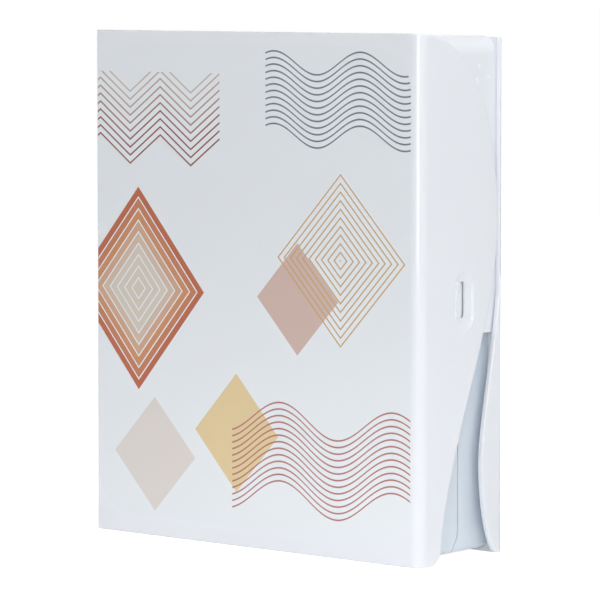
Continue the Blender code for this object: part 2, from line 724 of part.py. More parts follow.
def make_day_box(low_z):
    length = DAY_RIGHT_X - DAY_LEFT_X
    box = prism(day_section(low_z), "X", DAY_LEFT_X, DAY_LEFT_X + length)
    axis = (LID_AXIS_Y, hinge_height(low_z))
    ledge_y = LID_AXIS_Y + LID_BARREL_RADIUS + EAR_LEDGE
    for dose in range(DOSE_COUNT):
        left = DAY_LEFT_X + DOSE_PITCH * dose + DAY_PARTITION
        right = left + DOSE_PITCH - DAY_PARTITION
        box = cut(box, dose_pocket(low_z, left, right))
        trough_low = (left, DAY_RIM_Y - OVERRUN, axis[1] - EAR_RADIUS - EAR_LEDGE)
        trough_high = (right, ledge_y, axis[1] + LID_HINGE_DROP + OVERRUN)
        box = cut(box, block(trough_low, trough_high))
    for index in range(DOSE_COUNT + 1):
        left = DAY_LEFT_X + DOSE_PITCH * index
        ear_outline = arc(axis, EAR_RADIUS, math.pi / 2, 1.5 * math.pi, CORNER_STEPS + 1)
        ear_outline.append((DAY_RIM_Y + DAY_WALL, axis[1] - EAR_RADIUS))
        ear_outline.append((DAY_RIM_Y + DAY_WALL, axis[1] + EAR_RADIUS))
        box = join(box, prism(ear_outline, "X", left, left + DAY_PARTITION))
    hole = circle(axis, EAR_HOLE_RADIUS, SMALL_SIDES)
    for index in range(1, DOSE_COUNT):
        left = DAY_LEFT_X + DOSE_PITCH * index
        box = cut(box, prism(hole, "X", left - MESH_GAP, left + DAY_PARTITION + MESH_GAP))
    socket = LID_NUB_LENGTH + MESH_GAP
    first = DAY_LEFT_X + DAY_PARTITION
    last = DAY_RIGHT_X - DAY_PARTITION
    box = cut(box, prism(hole, "X", first - socket, first + MESH_GAP))
    box = cut(box, prism(hole, "X", last - MESH_GAP, last + socket))
    return tidy(box)


def make_lid(low_z, dose):
    """A flap that covers one compartment: plate, hinge barrel with nubs, and thumb lip."""
    left = DAY_LEFT_X + DOSE_PITCH * dose + DAY_PARTITION + LID_SIDE_CLEARANCE
    right = left + DOSE_PITCH - DAY_PARTITION - 2 * LID_SIDE_CLEARANCE
    middle = (left + right) / 2
    wide = DOSE_PITCH / 2 - LID_SPLIT / 2
    axis = (LID_AXIS_Y, hinge_height(low_z))
    shoulder = axis[1] - LID_SHOULDER
    low = low_z + LID_LOW_CLEARANCE
    radius = LID_CORNER_RADIUS
    outline = [(right, axis[1]), (left, axis[1]), (left, shoulder), (middle - wide, shoulder)]
    outline.extend(arc((middle - wide + radius, low + radius), radius, math.pi, 1.5 * math.pi, CORNER_STEPS - 2))
    outline.extend(arc((middle + wide - radius, low + radius), radius, 1.5 * math.pi, 2 * math.pi, CORNER_STEPS - 2))
    outline.extend([(middle + wide, shoulder), (right, shoulder)])
    plate = prism(outline, "Y", LID_FRONT_Y, LID_BACK_Y)
    barrel = prism(circle(axis, LID_BARREL_RADIUS, SMALL_SIDES), "X", left, right)
    nub_reach = LID_SIDE_CLEARANCE + LID_NUB_LENGTH
    nubs = prism(circle(axis, LID_NUB_RADIUS, SMALL_SIDES), "X", left - nub_reach, right + nub_reach)
    thumb_outline = (
        (LID_FRONT_Y + LID_THICKNESS / 2, low),
        (LID_FRONT_Y - THUMB_RISE, low),
        (LID_FRONT_Y - THUMB_RISE, low + THUMB_THICKNESS),
        (LID_FRONT_Y + LID_THICKNESS / 2, low + 2 * THUMB_THICKNESS),
    )
    thumb = prism(thumb_outline, "X", middle - THUMB_WIDTH / 2, middle + THUMB_WIDTH / 2)
    return tidy(join(plate, barrel, nubs, thumb))


def build():
    clear_scene()
    white = make_material("white_gloss", (0.90, 0.91, 0.92), 0.22)
    pearl = make_material("tray_white", (0.80, 0.85, 0.90), 0.35)
    steel = make_material("pin_steel", (0.62, 0.62, 0.64), 0.3, 1.0)
    paper = make_material("card_paper", (0.93, 0.92, 0.88), 0.8)
    box_plastic = make_material("box_white", (0.88, 0.89, 0.90), 0.3)
    lid_plastic = make_material("lid_clear", (0.78, 0.86, 0.93), 0.12, 0.0, 0.45)

    rear = add_pivot("rear_case_pivot", (0, 0, 0))
    hang("rear_cover", make_rear_cover(), white, rear)
    hang("rear_tray", make_rear_tray(), pearl, rear)
    hang("hinge_pin", make_hinge_pin(), steel, rear)

    front = add_pivot("cover_hinge_pivot", (HINGE_X, SEAM_Y, CASE_HEIGHT / 2), rear)
    hang("front_cover", make_front_cover(), white, front)
    hang("front_tray", make_front_tray(), pearl, front)
    hang("schedule_card", make_card(), paper, front)

    tab_place = (RIGHT_X - HOOD_INSET, FRONT_Y + RECESS_DEPTH_PLACE, RECESS_HEIGHT_PLACE)
    tab = add_pivot("release_tab_pivot", tab_place, rear)
    hang("release_tab", make_release_tab(), white, tab)

    for day, day_name in enumerate(DAY_NAMES):
        low_z = DAY_LOW_Z + DAY_PITCH * (DAY_COUNT - 1 - day)
        slide = add_pivot(f"{day_name}_pivot", (DAY_LEFT_X, DAY_BACK_Y, low_z), rear)
        hang(f"{day_name}_box", make_day_box(low_z), box_plastic, slide)
        for dose, dose_name in enumerate(DOSE_NAMES):
            place = (DAY_LEFT_X + DOSE_PITCH * dose, LID_AXIS_Y, hinge_height(low_z))
            pivot = add_pivot(f"{day_name}_{dose_name}_pivot", place, slide)
            hang(f"{day_name}_{dose_name}_lid", make_lid(low_z, dose), lid_plastic, pivot)


build()
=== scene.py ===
"""Looks of a weekly pill organiser: eased covers, moulded plastics, a printed front, a plain studio."""

import json
import math

import bmesh
import bpy
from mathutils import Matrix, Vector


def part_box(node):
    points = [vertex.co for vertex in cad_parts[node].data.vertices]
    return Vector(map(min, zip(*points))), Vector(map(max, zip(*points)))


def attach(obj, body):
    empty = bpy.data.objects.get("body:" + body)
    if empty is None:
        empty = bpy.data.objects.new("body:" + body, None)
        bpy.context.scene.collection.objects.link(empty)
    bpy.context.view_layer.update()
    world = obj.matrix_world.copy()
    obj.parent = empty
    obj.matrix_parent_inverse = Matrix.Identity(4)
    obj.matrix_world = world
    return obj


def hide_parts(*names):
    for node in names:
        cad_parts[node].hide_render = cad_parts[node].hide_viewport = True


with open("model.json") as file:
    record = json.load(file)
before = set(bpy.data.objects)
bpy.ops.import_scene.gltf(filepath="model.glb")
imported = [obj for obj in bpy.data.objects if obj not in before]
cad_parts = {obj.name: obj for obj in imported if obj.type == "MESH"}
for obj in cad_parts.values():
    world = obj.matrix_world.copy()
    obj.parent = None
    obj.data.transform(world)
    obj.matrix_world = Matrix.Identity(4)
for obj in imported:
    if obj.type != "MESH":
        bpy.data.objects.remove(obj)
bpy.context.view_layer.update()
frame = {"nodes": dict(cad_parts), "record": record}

# Camera, worked out from the case's own edges
CAMERA_PLACE = (0.8643, -1.0615, 0.2113)
CAMERA_TURN = math.radians(39.09)
CAMERA_TILT = math.radians(3.09)
FOCAL_PIXELS = 3692.1
FRAME_PIXELS = 600
FRAME_SHIFT_PIXELS = -127.5
SENSOR_WIDTH = 36.0

# Case
CASE_WIDTH = 0.154
CASE_HEIGHT = 0.190
CASE_DEPTH = 0.050
OVERRUN = 0.002
MESH_GAP = 0.0003
FRONT_Y = -CASE_DEPTH / 2
REAR_Y = CASE_DEPTH / 2
LEFT_X = -CASE_WIDTH / 2
RIGHT_X = CASE_WIDTH / 2

# Front cover
FRONT_WALL = 0.0016
FRONT_CORNER_RADIUS = 0.0043
COVER_EDGE_ROUND = 0.0005
FRONT_FLAP_shares = (
    ((0.04, 0.998), (0.62, 0.997), (0.942, 0.837), (0.946, 0.638)),
    ((0.946, 0.638), (0.946, 0.516), (0.676, 0.374), (0.56, 0.295)),
    ((0.56, 0.295), (0.436, 0.2105), (0.278, 0.105), (0.252, 0.0263)),
    ((0.252, 0.0263), (0.246, 0.0116), (0.204, 0.0), (0.15, 0.0)),
)
FLAP_BEND_START = 0.030
FLAP_BEND_INWARD = 0.0006

# Rear cover
REAR_WALL = 0.0020
REAR_FLAP_WALL = 0.0016
REAR_CORNER_RADIUS = 0.0025
REAR_TOP_DROP = 0.0018
REAR_FLAP_shares = (
    ((1.0, 0.0), (0.96, 0.0), (0.93, 0.002), (0.90, 0.006)),
    ((0.90, 0.006), (0.82, 0.03), (0.74, 0.095), (0.74, 0.179)),
    ((0.74, 0.179), (0.74, 0.263), (0.968, 0.442), (0.968, 0.568)),
)
RIM_DEPTH_share = 0.968
HOOD_WALL = 0.0015
HOOD_INSET = 0.0024
HOOD_TOP_INSET = 0.0013
HOOD_CORNER_RADIUS = 0.0066
HOOD_FRONT_DEPTH = 0.0170
HOOD_LOW_HEIGHT = 0.0810
HOOD_FOOT_RADIUS = 0.0030

# Thumb recess and slot
RECESS_DEPTH_PLACE = 0.0260
RECESS_HEIGHT_PLACE = 0.0934
RECESS_WIDTH = 0.0118
RECESS_LENGTH = 0.0214
RECESS_SINK = 0.0010
RECESS_SLOPE = 0.0045
RECESS_LIP = 0.0002
RECESS_FLOOR_share = 0.95
SLOT_HEIGHT_PLACE = 0.0942
SLOT_WIDTH = 0.0032
SLOT_LENGTH = 0.0132
RIB_WIDTH = 0.0018
RIB_RISE = 0.0006
TAB_WINDOW_WIDTH = 0.0092
TAB_WINDOW_LENGTH = 0.0248

# Pegs that hold the trays
PEG_RADIUS = 0.0016
PEG_EDGE_DISTANCE = 0.0095
PEG_ROWS = 3
TRAY_FLOOR = 0.0012
TRAY_WALL = 0.0014
DAY_END_CLEARANCE = 0.0010

# Facets of the fine covers
CURVE_STEPS = 26
CORNER_STEPS = 12
ARC_STEPS = 10
ROUND_SIDES = 32
EDGE_STEPS = 3

# Eased edges of the inner pieces
TRAY_EASE = 0.00030
BOX_EASE = 0.00022
LID_EASE = 0.00018
CARD_EASE = 0.00008
FLAT_ANGLE = math.radians(0.3)
EASED_ANGLE = math.radians(40)
SHARP_ANGLE = math.radians(32)
SHORTEST_EASED_EDGE = 4

# Printed front
PRINT_LOW_X = -0.0764
PRINT_HIGH_X = 0.0727
PRINT_LOW_Z = 0.0077
PRINT_HIGH_Z = 0.1853
PRINT_CORNER_RADIUS = 0.0160
INK_EDGE = 0.00006


def material_tree(name):
    material = bpy.data.materials.new(name)
    material.use_nodes = True
    return material


class Graph:
    """The nodes of one material; each method adds a node and gives back its output."""

    def __init__(self, material):
        self.nodes = material.node_tree.nodes
        self.links = material.node_tree.links
        self.shader = self.nodes["Principled BSDF"]

    def feed(self, socket, value):
        if isinstance(value, bpy.types.NodeSocket):
            self.links.new(value, socket)
        elif value is not None:
            socket.default_value = value

    def math(self, operation, first, second=None, clamp=False):
        node = self.nodes.new("ShaderNodeMath")
        node.operation = operation
        node.use_clamp = clamp
        self.feed(node.inputs[0], first)
        self.feed(node.inputs[1], second)
        return node.outputs[0]

    def mix(self, share, first, second):
        node = self.nodes.new("ShaderNodeMix")
        node.data_type = "RGBA"
        self.feed(node.inputs[0], share)
        self.feed(node.inputs[6], first)
        self.feed(node.inputs[7], second)
        return node.outputs[2]

    def ramp(self, value, stops):
        node = self.nodes.new("ShaderNodeValToRGB")
        elements = node.color_ramp.elements
        while len(elements) < len(stops):
            elements.new(1.0)
        for element, (place, color) in zip(elements, stops):
            element.position = place
            element.color = color
        self.feed(node.inputs[0], value)
        return node.outputs[0]

    def spread(self, value, low, high):
        """A value from 0 to 1 spread over another range."""
        node = self.nodes.new("ShaderNodeMapRange")
        self.feed(node.inputs["Value"], value)
        node.inputs["To Min"].default_value = low
        node.inputs["To Max"].default_value = high
        return node.outputs[0]

    def place(self):
        return self.nodes.new("ShaderNodeTexCoord").outputs["Object"]

    def axes(self):
        node = self.nodes.new("ShaderNodeSeparateXYZ")
        self.feed(node.inputs[0], self.place())
        return node.outputs

    def noise(self, scale, detail=2.0, stretch=(1.0, 1.0, 1.0)):
        mapping = self.nodes.new("ShaderNodeMapping")
        mapping.inputs["Scale"].default_value = stretch
        self.feed(mapping.inputs[0], self.place())
        node = self.nodes.new("ShaderNodeTexNoise")
        node.inputs["Scale"].default_value = scale
        node.inputs["Detail"].default_value = detail
        self.feed(node.inputs["Vector"], mapping.outputs[0])
        return node.outputs[0]

    def bump(self, height, distance):
        node = self.nodes.new("ShaderNodeBump")
        node.inputs["Distance"].default_value = distance
        node.inputs["Strength"].default_value = 1.0
        self.feed(node.inputs["Height"], height)
        self.feed(self.shader.inputs["Normal"], node.outputs[0])


def linear(red, green, blue):
    """A colour given as it looks on screen, 0 to 255, in the units that shaders take."""
    shares = (red / 255, green / 255, blue / 255)
    return tuple(((s + 0.055) / 1.055) ** 2.4 for s in shares) + (1.0,)


# Plastics: large soft cloudiness, fine moulding grain, roughness that varies a little
CLOUD_SCALE = 18.0
CLOUD_DETAIL = 3.0
ROUGHNESS_SCALE = 3 * CLOUD_SCALE
GRAIN_SCALE = 2400.0
GRAIN_HEIGHT = 0.000004
LID_GRAIN_HEIGHT = 0.000001
TRAY_MILKINESS = 0.40
TRAY_REACH = 0.0014
BOX_MILKINESS = 0.30
BOX_REACH = 0.0010
CASE_COAT = 0.25
CASE_COAT_ROUGHNESS = 0.08
FRONT_COAT = 0.35
FRONT_COAT_ROUGHNESS = 0.06
LID_CLEARNESS = 0.85
LID_IOR = 1.46


def moulded(graph, light, dark, rough_low, rough_high, grain=GRAIN_HEIGHT):
    """Colour of a moulded plastic; sets the grain and the roughness too."""
    cloud = graph.noise(CLOUD_SCALE, CLOUD_DETAIL)
    color = graph.mix(cloud, light, dark)
    unevenness = graph.noise(ROUGHNESS_SCALE)
    graph.feed(graph.shader.inputs["Roughness"], graph.spread(unevenness, rough_low, rough_high))
    graph.bump(graph.noise(GRAIN_SCALE), grain)
    return color


def milky(graph, weight, reach):
    """Lets light spread a little way inside a thin white wall."""
    graph.shader.inputs["Subsurface Weight"].default_value = weight
    graph.shader.inputs["Subsurface Radius"].default_value = (1.0, 1.0, 1.0)
    graph.shader.inputs["Subsurface Scale"].default_value = reach


def case_plastic():
    material = material_tree("case_white")
    graph = Graph(material)
    color = moulded(graph, linear(240, 243, 249), linear(236, 240, 246), 0.22, 0.30)
    graph.feed(graph.shader.inputs["Base Color"], color)
    graph.shader.inputs["Coat Weight"].default_value = CASE_COAT
    graph.shader.inputs["Coat Roughness"].default_value = CASE_COAT_ROUGHNESS
    return material


def tray_plastic():
    material = material_tree("tray_white")
    graph = Graph(material)
    color = moulded(graph, linear(225, 234, 243), linear(219, 229, 239), 0.30, 0.40)
    graph.feed(graph.shader.inputs["Base Color"], color)
    milky(graph, TRAY_MILKINESS, TRAY_REACH)
    return material


def box_plastic():
    material = material_tree("box_white")
    graph = Graph(material)
    color = moulded(graph, linear(243, 244, 245), linear(238, 240, 242), 0.26, 0.36)
    graph.feed(graph.shader.inputs["Base Color"], color)
    milky(graph, BOX_MILKINESS, BOX_REACH)
    return material


def lid_plastic():
    material = material_tree("lid_clear")
    graph = Graph(material)
    color = moulded(graph, linear(226, 240, 250), linear(218, 235, 248), 0.04, 0.10, LID_GRAIN_HEIGHT)
    graph.feed(graph.shader.inputs["Base Color"], color)
    graph.shader.inputs["Transmission Weight"].default_value = LID_CLEARNESS
    graph.shader.inputs["IOR"].default_value = LID_IOR
    return material


# Drawn steel: fine streaks along the pin
STREAK_SCALE = 1400.0
STREAK_DETAIL = 3.0
STREAK_STRETCH = (1.0, 1.0, 0.02)


def pin_steel():
    material = material_tree("pin_steel")
    graph = Graph(material)
    streak = graph.noise(STREAK_SCALE, STREAK_DETAIL, STREAK_STRETCH)
    color = graph.mix(streak, linear(196, 197, 200), linear(172, 173, 177))
    graph.feed(graph.shader.inputs["Base Color"], color)
    graph.shader.inputs["Metallic"].default_value = 1.0
    graph.feed(graph.shader.inputs["Roughness"], graph.spread(streak, 0.28, 0.42))
    return material


# Schedule card: a plain ruled table, one row for each day and one column for each dose
CARD_RULE = 0.0004
CARD_ROWS = 7
CARD_COLUMNS = 4
CARD_TABLE_MARGIN = 0.008
CARD_RULE_COLOR = linear(150, 154, 164)
CARD_ROUGHNESS = 0.8
FIBRE_SCALE = 1600.0
FIBRE_DETAIL = 4.0
FIBRE_HEIGHT = 0.00002
PAPER_CLOUD_SCALE = 900.0


def fade(graph, distance, reach):
    """1 where a distance is under a reach, 0 beyond, with a soft edge as wide as ink spreads."""
    over = graph.math("SUBTRACT", reach, distance)
    return graph.math("ADD", graph.math("DIVIDE", over, INK_EDGE), 0.5, clamp=True)


def rules(graph, along, start, pitch, count):
    """Ruled lines across an axis: how much ink there is at a place."""
    steps = graph.math("DIVIDE", graph.math("SUBTRACT", along, start), pitch)
    nearest = graph.math("MINIMUM", graph.math("MAXIMUM", graph.math("ROUND", steps), 0.0), float(count))
    distance = graph.math("MULTIPLY", graph.math("ABSOLUTE", graph.math("SUBTRACT", steps, nearest)), pitch)
    return fade(graph, distance, CARD_RULE / 2)


def card_paper():
    material = material_tree("card_paper")
    graph = Graph(material)
    x, _, z = graph.axes()
    low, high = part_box("schedule_card")
    margin = CARD_TABLE_MARGIN
    width = high.x - low.x - 2 * margin
    height = high.z - low.z - 2 * margin
    columns = rules(graph, x, low.x + margin, width / CARD_COLUMNS, CARD_COLUMNS)
    rows = rules(graph, z, low.z + margin, height / CARD_ROWS, CARD_ROWS)
    off_x = graph.math("ABSOLUTE", graph.math("SUBTRACT", x, (low.x + high.x) / 2))
    off_z = graph.math("ABSOLUTE", graph.math("SUBTRACT", z, (low.z + high.z) / 2))
    columns = graph.math("MULTIPLY", columns, fade(graph, off_z, height / 2))
    rows = graph.math("MULTIPLY", rows, fade(graph, off_x, width / 2))
    table = graph.math("MAXIMUM", columns, rows)
    cloud = graph.noise(PAPER_CLOUD_SCALE, FIBRE_DETAIL)
    paper = graph.mix(cloud, linear(246, 245, 240), linear(238, 236, 230))
    graph.feed(graph.shader.inputs["Base Color"], graph.mix(table, paper, CARD_RULE_COLOR))
    graph.shader.inputs["Roughness"].default_value = CARD_ROUGHNESS
    graph.bump(graph.noise(FIBRE_SCALE, FIBRE_DETAIL), FIBRE_HEIGHT)
    return material


# The front's generic design: waves, zigzags and nested diamonds in warm inks
LINE_PITCH = 0.0024
LINE_WIDTH = 0.00060
BOLD_LINE_PITCH = 0.0030
BOLD_LINE_WIDTH = 0.00075
SLATE = linear(105, 110, 125)
RUST_DARK = linear(142, 58, 48)
RUST_PALE = linear(205, 185, 178)
ORANGE = linear(184, 88, 44)
ORANGE_LIGHT = linear(206, 140, 92)
BEIGE = linear(215, 205, 192)
MUSTARD = linear(204, 164, 104)
MUSTARD_SOLID = linear(228, 204, 156)
PINK_SOLID = linear(209, 182, 172)
PALE_SOLID = linear(224, 217, 214)
BRICK = linear(176, 104, 98)
FILM_TINT = linear(236, 241, 246)


def inside_box(graph, x, z, low, high):
    """1 inside an upright rectangle of the front."""
    half_x = (high[0] - low[0]) / 2
    half_z = (high[1] - low[1]) / 2
    off_x = graph.math("ABSOLUTE", graph.math("SUBTRACT", x, low[0] + half_x))
    off_z = graph.math("ABSOLUTE", graph.math("SUBTRACT", z, low[1] + half_z))
    return graph.math("MULTIPLY", fade(graph, off_x, half_x), fade(graph, off_z, half_z))


def film_area(graph, x, z):
    """1 inside the printed film, a rectangle with round corners."""
    centre_x = (PRINT_LOW_X + PRINT_HIGH_X) / 2
    centre_z = (PRINT_LOW_Z + PRINT_HIGH_Z) / 2
    core_x = (PRINT_HIGH_X - PRINT_LOW_X) / 2 - PRINT_CORNER_RADIUS
    core_z = (PRINT_HIGH_Z - PRINT_LOW_Z) / 2 - PRINT_CORNER_RADIUS
    off_x = graph.math("SUBTRACT", graph.math("ABSOLUTE", graph.math("SUBTRACT", x, centre_x)), core_x)
    off_z = graph.math("SUBTRACT", graph.math("ABSOLUTE", graph.math("SUBTRACT", z, centre_z)), core_z)
    past_x = graph.math("MAXIMUM", off_x, 0.0)
    past_z = graph.math("MAXIMUM", off_z, 0.0)
    squares = graph.math("ADD", graph.math("POWER", past_x, 2.0), graph.math("POWER", past_z, 2.0))
    return fade(graph, graph.math("SQRT", squares), PRINT_CORNER_RADIUS)


def line_ink(graph, height, count, pitch=LINE_PITCH, width=LINE_WIDTH):
    """Lines at every pitch of a height measure, from 0 to a count of pitches."""
    steps = graph.math("DIVIDE", height, pitch)
    nearest = graph.math("MINIMUM", graph.math("MAXIMUM", graph.math("ROUND", steps), 0.0), float(count))
    off = graph.math("ABSOLUTE", graph.math("SUBTRACT", steps, nearest))
    return fade(graph, graph.math("MULTIPLY", off, pitch), width / 2)


def wave_height(graph, x, z, base, swing, length):
    """Height above a wavy base line."""
    turn = graph.math("MULTIPLY", x, 2 * math.pi / length)
    wave = graph.math("MULTIPLY", graph.math("SINE", turn), swing)
    return graph.math("SUBTRACT", graph.math("SUBTRACT", z, base), wave)


def zigzag_height(graph, x, z, base, swing, length):
    """Height above a base line of straight strokes up and down."""
    wave = graph.math("MULTIPLY", graph.math("PINGPONG", x, length / 2), 2 * swing / length)
    return graph.math("SUBTRACT", graph.math("SUBTRACT", z, base), wave)


def diamond_reach(graph, x, z, centre, half_width, half_height):
    """0 at a diamond's middle and 1 at its outline."""
    across = graph.math("DIVIDE", graph.math("ABSOLUTE", graph.math("SUBTRACT", x, centre[0])), half_width)
    upward = graph.math("DIVIDE", graph.math("ABSOLUTE", graph.math("SUBTRACT", z, centre[1])), half_height)
    return graph.math("ADD", across, upward)


def solid_diamond(graph, x, z, centre, half_width, half_height):
    reach = diamond_reach(graph, x, z, centre, half_width, half_height)
    return fade(graph, graph.math("MULTIPLY", reach, half_width), half_width)


WAVES_BASE = 0.1525
WAVES_SWING = 0.0042
WAVES_LENGTH = 0.0400
WAVES_COUNT = 11
WAVES_LOW = (0.0060, 0.1400)
WAVES_HIGH = (0.0800, 0.1900)
ZIGZAG_BASE = 0.1400
ZIGZAG_SWING = 0.0110
ZIGZAG_LENGTH = 0.0300
ZIGZAG_COUNT = 9
ZIGZAG_LOW = (-0.0800, 0.1300)
ZIGZAG_HIGH = (-0.0160, 0.1745)
BRICK_BASE = 0.0200
BRICK_SWING = 0.0060
BRICK_LENGTH = 0.0520
BRICK_COUNT = 12
BRICK_LOW = (-0.0100, 0.0)
BRICK_HIGH = (0.0800, 0.0660)
BOLD_CENTRE = (-0.0560, 0.0930)
BOLD_HALF_WIDTH = 0.0330
BOLD_HALF_HEIGHT = 0.0390
BOLD_BANDS = 9
BOLD_GAP_share = 0.17
RINGS_CENTRE = (0.0410, 0.1080)
RINGS_HALF_WIDTH = 0.0290
RINGS_HALF_HEIGHT = 0.0310
RINGS_COUNT = 10
PINK_CENTRE = (0.0210, 0.0930)
PINK_HALF_WIDTH = 0.0190
PINK_HALF_HEIGHT = 0.0205
GOLD_CENTRE = (-0.0080, 0.0420)
GOLD_HALF_WIDTH = 0.0200
GOLD_HALF_HEIGHT = 0.0220
PALE_CENTRE = (-0.0480, 0.0310)
PALE_HALF_WIDTH = 0.0200
PALE_HALF_HEIGHT = 0.0215


def bold_diamond(graph, x, z):
    """Broad nested bands, from orange outside to beige in the middle, with thin gaps: ink and colour."""
    reach = diamond_reach(graph, x, z, BOLD_CENTRE, BOLD_HALF_WIDTH, BOLD_HALF_HEIGHT)
    bands = graph.math("MULTIPLY", reach, float(BOLD_BANDS))
    part = graph.math("FRACT", bands)
    band_width = BOLD_HALF_WIDTH / BOLD_BANDS
    edge = graph.math("MULTIPLY", graph.math("SUBTRACT", 1.0, part), band_width)
    gap = fade(graph, edge, band_width * BOLD_GAP_share)
    inked_width = BOLD_HALF_WIDTH * (1 - BOLD_GAP_share / BOLD_BANDS)
    inside = fade(graph, graph.math("MULTIPLY", reach, BOLD_HALF_WIDTH), inked_width)
    ink = graph.math("MULTIPLY", inside, graph.math("SUBTRACT", 1.0, gap))
    level = graph.math("DIVIDE", graph.math("FLOOR", bands), float(BOLD_BANDS))
    color = graph.ramp(level, ((0.0, BEIGE), (0.35, BEIGE), (0.65, ORANGE_LIGHT), (0.9, ORANGE)))
    return ink, color


def printed_front():
    material = material_tree("case_printed")
    graph = Graph(material)
    plastic = moulded(graph, linear(240, 243, 249), linear(236, 240, 246), 0.20, 0.27)
    x, y, z = graph.axes()
    film = film_area(graph, x, z)
    face = fade(graph, y, FRONT_Y + COVER_EDGE_ROUND / 2)
    color = graph.mix(graph.math("MULTIPLY", film, face), plastic, FILM_TINT)
    solids = (
        (solid_diamond(graph, x, z, PINK_CENTRE, PINK_HALF_WIDTH, PINK_HALF_HEIGHT), PINK_SOLID),
        (solid_diamond(graph, x, z, GOLD_CENTRE, GOLD_HALF_WIDTH, GOLD_HALF_HEIGHT), MUSTARD_SOLID),
        (solid_diamond(graph, x, z, PALE_CENTRE, PALE_HALF_WIDTH, PALE_HALF_HEIGHT), PALE_SOLID),
    )
    waves = line_ink(graph, wave_height(graph, x, z, WAVES_BASE, WAVES_SWING, WAVES_LENGTH), WAVES_COUNT)
    waves = graph.math("MULTIPLY", waves, inside_box(graph, x, z, WAVES_LOW, WAVES_HIGH))
    zigzag_rise = zigzag_height(graph, x, z, ZIGZAG_BASE, ZIGZAG_SWING, ZIGZAG_LENGTH)
    zigzags = line_ink(graph, zigzag_rise, ZIGZAG_COUNT, BOLD_LINE_PITCH, BOLD_LINE_WIDTH)
    zigzags = graph.math("MULTIPLY", zigzags, inside_box(graph, x, z, ZIGZAG_LOW, ZIGZAG_HIGH))
    rust_level = graph.math("DIVIDE", zigzag_rise, BOLD_LINE_PITCH * ZIGZAG_COUNT)
    rust = graph.ramp(rust_level, ((0.0, RUST_DARK), (0.3, RUST_DARK), (1.0, RUST_PALE)))
    bricks = line_ink(graph, wave_height(graph, x, z, BRICK_BASE, BRICK_SWING, BRICK_LENGTH), BRICK_COUNT)
    bricks = graph.math("MULTIPLY", bricks, inside_box(graph, x, z, BRICK_LOW, BRICK_HIGH))
    ring_reach = diamond_reach(graph, x, z, RINGS_CENTRE, RINGS_HALF_WIDTH, RINGS_HALF_HEIGHT)
    rings = line_ink(graph, graph.math("MULTIPLY", ring_reach, LINE_PITCH * RINGS_COUNT), RINGS_COUNT)
    bold, bold_color = bold_diamond(graph, x, z)
    inks = (*solids, (waves, SLATE), (zigzags, rust), (bricks, BRICK), (rings, MUSTARD), (bold, bold_color))
    printable = graph.math("MULTIPLY", film, face)
    for ink, ink_color in inks:
        color = graph.mix(graph.math("MULTIPLY", ink, printable), color, ink_color)
    graph.feed(graph.shader.inputs["Base Color"], color)
    graph.shader.inputs["Coat Weight"].default_value = FRONT_COAT
    graph.shader.inputs["Coat Roughness"].default_value = FRONT_COAT_ROUGHNESS
    return material


# Outlines

def arc(centre, radius, start, end, steps):
    points = []
    for index in range(steps + 1):
        angle = start + (end - start) * index / steps
        points.append((centre[0] + radius * math.cos(angle), centre[1] + radius * math.sin(angle)))
    return points


def bezier(control):
    """Points of a cubic curve, without its first one."""
    points = []
    for index in range(1, CURVE_STEPS + 1):
        t = index / CURVE_STEPS
        weights = ((1 - t) ** 3, 3 * (1 - t) ** 2 * t, 3 * (1 - t) * t ** 2, t ** 3)
        first = sum(w * p[0] for w, p in zip(weights, control))
        second = sum(w * p[1] for w, p in zip(weights, control))
        points.append((first, second))
    return points


def depth_and_height(shares):
    return [(share[0] * CASE_DEPTH, share[1] * CASE_HEIGHT) for share in shares]


def depth_to_length(depth, radius):
    """Length along a cover's outer face, from its left edge, at a depth behind that cover's face."""
    straight = CASE_WIDTH - radius
    if depth < radius:
        return straight + radius * math.acos(1 - depth / radius)
    return straight + radius * math.pi / 2 + depth - radius


def wrap(length, inward, radius, facing):
    """Place on a folded cover at a length from its left edge; facing is -1 in front, 1 at the rear."""
    straight = CASE_WIDTH - radius
    quarter = radius * math.pi / 2
    face_y = facing * CASE_DEPTH / 2
    if length <= straight:
        return LEFT_X + length, face_y - facing * inward
    if length <= straight + quarter:
        angle = (length - straight) / radius
        reach = radius - inward
        centre_y = face_y - facing * radius
        return RIGHT_X - radius + reach * math.sin(angle), centre_y + facing * reach * math.cos(angle)
    depth = radius + length - straight - quarter
    return RIGHT_X - inward, face_y - facing * depth


def flap_bend(depth):
    """How far the front flap has turned inwards at a depth, towards its free edge."""
    past = max(0.0, depth - FLAP_BEND_START) / (CASE_DEPTH - FLAP_BEND_START)
    return FLAP_BEND_INWARD * past ** 2


# Meshes

def finish_mesh(bm, name):
    bmesh.ops.recalc_face_normals(bm, faces=bm.faces)
    mesh = bpy.data.meshes.new(name)
    bm.to_mesh(mesh)
    bm.free()
    return mesh


def add_piece(name, mesh, material):
    item = bpy.data.objects.new(name, mesh)
    bpy.context.scene.collection.objects.link(item)
    mesh.materials.clear()
    mesh.materials.append(material)
    return item


def prism(outline, axis, low, high):
    """A closed outline carried along an axis: (y, z) along X, (x, z) along Y, (x, y) along Z."""
    bm = bmesh.new()
    places = {
        "X": lambda a, p: (a, p[0], p[1]),
        "Y": lambda a, p: (p[0], a, p[1]),
        "Z": lambda a, p: (p[0], p[1], a),
    }
    ends = [[bm.verts.new(places[axis](along, point)) for point in outline] for along in (low, high)]
    count = len(outline)
    bm.faces.new(ends[0])
    bm.faces.new(list(reversed(ends[1])))
    for index in range(count):
        after = (index + 1) % count
        bm.faces.new((ends[0][after], ends[0][index], ends[1][index], ends[1][after]))
    return finish_mesh(bm, "prism")


def block(low, high):
    outline = ((low[0], low[1]), (high[0], low[1]), (high[0], high[1]), (low[0], high[1]))
    return prism(outline, "Z", low[2], high[2])


